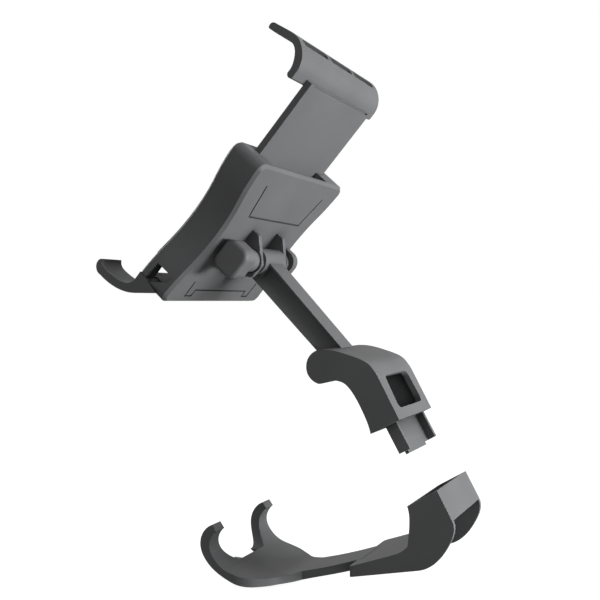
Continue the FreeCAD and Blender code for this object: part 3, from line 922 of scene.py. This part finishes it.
@dataclass
class TiltKnob:
    """Thumb knob that locks the tilt.

    Lengths are in millimetres, in the holder's axes.

    Attributes:
        place: u and f of the hinge's axis.
        section: length and depth of the rounded section.
        corner: radius of the section's corners.
        corner_steps: faces round a corner.
        front: place of the front face across the width.
        front_rim: rounding of the front rim.
        front_steps: faces across the front rim.
        back: place of the back face across the width.
        back_rim: rounding of the back rim.
        back_steps: faces across the back rim.
        neck_radius: radius of the neck.
        neck_end: place of the neck's end across the width.
        neck_root: how far the neck runs into the grip.
        neck_rim: rounding of the neck's ends.
    """

    place: tuple[float, float] = (-24.3, -4.9)
    section: tuple[float, float] = (8.7, 7.8)
    corner: float = 2.5
    corner_steps: int = 9
    front: float = -19.0
    front_rim: float = 0.95
    front_steps: int = 6
    back: float = -13.6
    back_rim: float = 0.35
    back_steps: int = 3
    neck_radius: float = 3.0
    neck_end: float = -8.5
    neck_root: float = 0.6
    neck_rim: float = 0.2

    def grip(self) -> bpy.types.Object:
        """Block with a rounded section and a soft front rim.

        Returns:
            The block.
        """
        middle = (self.front + self.back) / 2.0
        deselect_all()
        bpy.ops.mesh.primitive_cube_add(
            size=1.0,
            location=from_holder(self.place[0], middle, self.place[1]),
            rotation=(0.0, -HOLDER_TILT, 0.0),
            scale=(self.section[0] * MM, (self.back - self.front) * MM, self.section[1] * MM),
        )
        block = bpy.context.object
        rename(block, "knob_grip")
        settle(block)
        self.bevel_where(block, self.runs_across, self.corner, self.corner_steps)
        self.bevel_where(block, self.on_front, self.front_rim, self.front_steps)
        self.bevel_where(block, self.on_back, self.back_rim, self.back_steps)
        return block

    def runs_across(self, one: Vector, other: Vector) -> bool:
        """True for an edge that runs across the width."""
        return abs((one - other).normalized().y) > ACROSS

    def on_front(self, one: Vector, other: Vector) -> bool:
        """True for an edge of the front face."""
        return max(abs(end.y - self.front * MM) for end in (one, other)) < ON_FACE

    def on_back(self, one: Vector, other: Vector) -> bool:
        """True for an edge of the back face."""
        return max(abs(end.y - self.back * MM) for end in (one, other)) < ON_FACE

    def bevel_where(
        self,
        piece: bpy.types.Object,
        pick: Callable[[Vector, Vector], bool],
        width_mm: float,
        steps: int,
    ) -> None:
        """Round the edges that a test picks.

        Args:
            piece: the piece to work on.
            pick: test of an edge's two ends.
            width_mm: width of the rounding.
            steps: faces across the rounded edge.
        """
        select_only(piece)
        bpy.ops.object.mode_set(mode="EDIT")
        bpy.ops.mesh.select_mode(type="EDGE")
        bpy.ops.mesh.select_all(action="DESELECT")
        bpy.ops.object.mode_set(mode="OBJECT")
        points = piece.data.vertices
        for edge in piece.data.edges:
            edge.select = pick(points[edge.vertices[0]].co, points[edge.vertices[1]].co)
        bpy.ops.object.mode_set(mode="EDIT")
        bpy.ops.mesh.bevel(
            offset=width_mm * MM, offset_type="OFFSET", segments=steps, affect="EDGES"
        )
        bpy.ops.object.mode_set(mode="OBJECT")

    def neck(self) -> bpy.types.Object:
        """Round neck between the block and the washer.

        Returns:
            The neck.
        """
        depth = self.neck_end - self.back + self.neck_root
        middle = self.neck_end - depth / 2.0
        deselect_all()
        bpy.ops.mesh.primitive_cylinder_add(
            vertices=NECK_SIDES,
            radius=self.neck_radius * MM,
            depth=depth * MM,
            location=from_holder(self.place[0], middle, self.place[1]),
            rotation=(math.radians(90.0), 0.0, 0.0),
        )
        shaft = bpy.context.object
        rename(shaft, "knob_neck")
        settle(shaft)
        FINE_EDGES.soften(shaft, self.neck_rim)
        return shaft

    def build(self) -> list[bpy.types.Object]:
        """Build the knob.

        Returns:
            The new pieces.
        """
        block = self.grip()
        shaft = self.neck()
        select_only(block)
        shaft.select_set(True)
        bpy.ops.object.join()
        MOULDED_EDGES.smooth(block)
        keep_flats_flat(block)
        KNOB_PLASTIC.dress(block)
        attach(block, Body.KNOB.value)
        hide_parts("thumb_knob")
        return [block]


@dataclass
class Saddle:
    """Saddle with its arm and the soft pad that bears on the controller.

    Lengths are in millimetres, in the side view.

    Attributes:
        shell_round: rounding of the saddle's edges.
        arm_round: rounding of the arm's edges.
        seat: x and z of the line that the pad's lower face follows.
        pad_half: half length of the pad.
        flute: hollow along each side of the arm.
        pad: the pad's sheet.
    """

    shell_round: float = 0.14
    arm_round: float = 0.12
    seat: tuple[tuple[float, float], ...] = (
        (27.45, -26.93),
        (29.8, -26.43),
        (32.3, -27.17),
        (33.75, -28.24),
    )
    pad_half: float = 10.4
    flute: Flute = Flute((2.1, -3.92), (23.6, -26.2), radius=4.2, side=7.0)
    pad: RubberPad = RubberPad(
        "saddle_pad", "saddle_rest", Body.SADDLE, across=24, along=16, thick_mm=0.6, round_mm=0.2
    )

    def seat_point(self, along: float, across: float) -> Vector:
        """Point of the saddle pad's lower face."""
        x, z = along_line(self.seat, along)
        return from_side_view(x, (0.5 - across) * 2.0 * self.pad_half, z)

    def build(self, packed: Pieces) -> list[bpy.types.Object]:
        """Build the saddle's pieces.

        Args:
            packed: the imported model's pieces by name.

        Returns:
            The new pieces.
        """
        rest = self.pad.build(self.seat_point)
        shell = Moulding("saddle_shell", "saddle_moulding", Body.SADDLE, self.shell_round)
        arm = Moulding("arm", "tilt_arm", Body.SADDLE, self.arm_round, cuts=(self.flute,))
        return [shell.build(packed), arm.build(packed), rest]


@dataclass
class LowerClip:
    """Socket and hooked fork that push onto the tongue.

    Attributes:
        clip_round: rounding of the clip's edges, in millimetres.
        floor_end: opening that cuts the socket's floor back, in the side view.
    """

    clip_round: float = 0.14
    floor_end: Opening = Opening((46.4, -11.7, -76.5), (52.5, 11.7, -69.2), Axes.SIDE_VIEW)

    def build(self, packed: Pieces) -> list[bpy.types.Object]:
        """Build the clip.

        Args:
            packed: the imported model's pieces by name.

        Returns:
            The new pieces.
        """
        cuts = (self.floor_end,)
        clip = Moulding("lower_clip", "hooked_clip", Body.CLIP, self.clip_round, cuts)
        return [clip.build(packed)]


@dataclass(frozen=True)
class Lamp:
    """Soft lamp that faces the object.

    Attributes:
        name: name of the lamp.
        place: its place in metres.
        size: width and height of its panel in metres.
        power: its power in watts.
        target: the point that it faces, in metres.
    """

    name: str
    place: Point
    size: tuple[float, float]
    power: float
    target: Point = (-0.01, 0.0, 0.02)

    def hang(self) -> None:
        """Hang the lamp and turn it to the object."""
        data = bpy.data.lights.new(self.name, "AREA")
        data.shape = "RECTANGLE"
        data.size, data.size_y = self.size
        data.energy = self.power
        lamp = bpy.data.objects.new(self.name, data)
        bpy.context.scene.collection.objects.link(lamp)
        lamp.location = self.place
        aim = Vector(self.target) - Vector(self.place)
        lamp.rotation_euler = aim.to_track_quat("-Z", "Y").to_euler()


@dataclass
class Studio:
    """Floor, soft lights, world and the camera.

    Attributes:
        eye: place of the camera in metres.
        azimuth: direction of the camera round the object, degrees.
        lens_mm: focal length.
        sensor_mm: width of the camera's sensor.
        shift_y: upward shift of the picture, one pixel of 600.
        near: distance in metres from which the camera sees.
        floor_size: width of the floor in metres.
        floor_z: height of the floor in metres.
        floor_grey: level of the floor's own grey.
        floor_roughness: roughness of the floor.
        floor_white: share of white that the camera sees on the floor on top of that grey.
        fill: strength of the even fill.
        lamps: the soft lamps.
    """

    eye: Point = (0.0815, -0.2084, 0.0195)
    azimuth: float = 25.2
    lens_mm: float = 52.41
    sensor_mm: float = 36.0
    shift_y: float = 1.0 / 600.0
    near: float = 0.005
    floor_size: float = 8.0
    floor_z: float = -0.0536
    floor_grey: float = 0.4
    floor_roughness: float = 0.9
    floor_white: float = 0.87
    fill: float = 0.4
    lamps: tuple[Lamp, ...] = (
        Lamp("key_right", place=(0.37, 0.06, -0.02), size=(0.3, 0.06), power=3.9),
        Lamp("front_right", place=(0.42, -0.52, 0.12), size=(0.3, 0.3), power=0.7),
        Lamp("top_soft", place=(-0.1, 0.05, 0.8), size=(0.5, 0.5), power=0.3),
        Lamp("back_left", place=(-0.6, 0.3, 0.35), size=(0.4, 0.4), power=1.3),
    )

    def floor_material(self) -> bpy.types.Material:
        """White floor that keeps a faint shadow.

        Returns:
            The material.
        """
        made = bpy.data.materials.new(Shade.FLOOR.value)
        made.use_nodes = True
        nodes = made.node_tree.nodes
        links = made.node_tree.links
        shader = nodes["Principled BSDF"]
        grey = self.floor_grey
        shader.inputs["Base Color"].default_value = (grey, grey, grey, 1.0)
        shader.inputs["Roughness"].default_value = self.floor_roughness
        shader.inputs["Specular IOR Level"].default_value = 0.0
        glow = nodes.new("ShaderNodeEmission")
        rays = nodes.new("ShaderNodeLightPath")
        scale = nodes.new("ShaderNodeMath")
        scale.operation = "MULTIPLY"
        scale.inputs[1].default_value = self.floor_white
        links.new(rays.outputs["Is Camera Ray"], scale.inputs[0])
        links.new(scale.outputs["Value"], glow.inputs["Strength"])
        both = nodes.new("ShaderNodeAddShader")
        links.new(shader.outputs["BSDF"], both.inputs[0])
        links.new(glow.outputs["Emission"], both.inputs[1])
        links.new(both.outputs["Shader"], nodes["Material Output"].inputs["Surface"])
        return made

    def floor(self) -> None:
        """Lay the floor."""
        deselect_all()
        bpy.ops.mesh.primitive_plane_add(size=self.floor_size, location=(0.0, 0.0, self.floor_z))
        plane = bpy.context.object
        plane.name = "floor"
        plane.data.materials.append(self.floor_material())

    def world(self) -> None:
        """White backdrop for camera, gloss and glass, and a soft even fill for the object."""
        world = bpy.data.worlds.new("studio")
        bpy.context.scene.world = world
        world.use_nodes = True
        nodes = world.node_tree.nodes
        links = world.node_tree.links
        fill = nodes["Background"]
        fill.inputs["Color"].default_value = WHITE
        fill.inputs["Strength"].default_value = self.fill
        white = nodes.new("ShaderNodeBackground")
        white.inputs["Color"].default_value = WHITE
        white.inputs["Strength"].default_value = 1.0
        rays = nodes.new("ShaderNodeLightPath")
        sees_white = rays.outputs["Is Camera Ray"]
        for kind in ("Is Glossy Ray", "Is Transmission Ray"):
            either = nodes.new("ShaderNodeMath")
            either.operation = "MAXIMUM"
            links.new(sees_white, either.inputs[0])
            links.new(rays.outputs[kind], either.inputs[1])
            sees_white = either.outputs["Value"]
        mix = nodes.new("ShaderNodeMixShader")
        links.new(sees_white, mix.inputs["Fac"])
        links.new(fill.outputs["Background"], mix.inputs[1])
        links.new(white.outputs["Background"], mix.inputs[2])
        links.new(mix.outputs["Shader"], nodes["World Output"].inputs["Surface"])

    def camera(self) -> None:
        """Set the camera at the photo's place, level and turned to the object."""
        data = bpy.data.cameras.new("view")
        data.lens = self.lens_mm
        data.sensor_width = self.sensor_mm
        data.shift_y = self.shift_y
        data.clip_start = self.near
        camera = bpy.data.objects.new("view", data)
        bpy.context.scene.collection.objects.link(camera)
        camera.location = self.eye
        camera.rotation_euler = (math.radians(90.0), 0.0, math.radians(self.azimuth))
        bpy.context.scene.camera = camera

    def build(self) -> None:
        """Set up the whole studio."""
        bpy.context.scene.view_settings.view_transform = "Standard"
        self.floor()
        self.world()
        for lamp in self.lamps:
            lamp.hang()
        self.camera()


def dress_nodes(nodes: Pieces) -> None:
    """Give every carried-over piece its finish.

    Args:
        nodes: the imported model's pieces by name.
    """
    for name, piece in nodes.items():
        NODE_FINISH.get(name, PLASTIC).dress(piece)


def main() -> None:
    """Build the studio and each sub-assembly in order, and report every new piece."""
    logging.basicConfig(level=logging.INFO, format="%(name)s: %(message)s")
    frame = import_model()
    Studio().build()
    pieces = frame["nodes"]
    dress_nodes(pieces)
    built = PhoneHolder().build(pieces) + SlidingJaw().build(pieces)
    built += TiltKnob().build() + Saddle().build(pieces) + LowerClip().build(pieces)
    for piece in built:
        LOG.info("%s: %d faces", piece.name, len(piece.data.polygons))


if __name__ == "__main__":
    main()
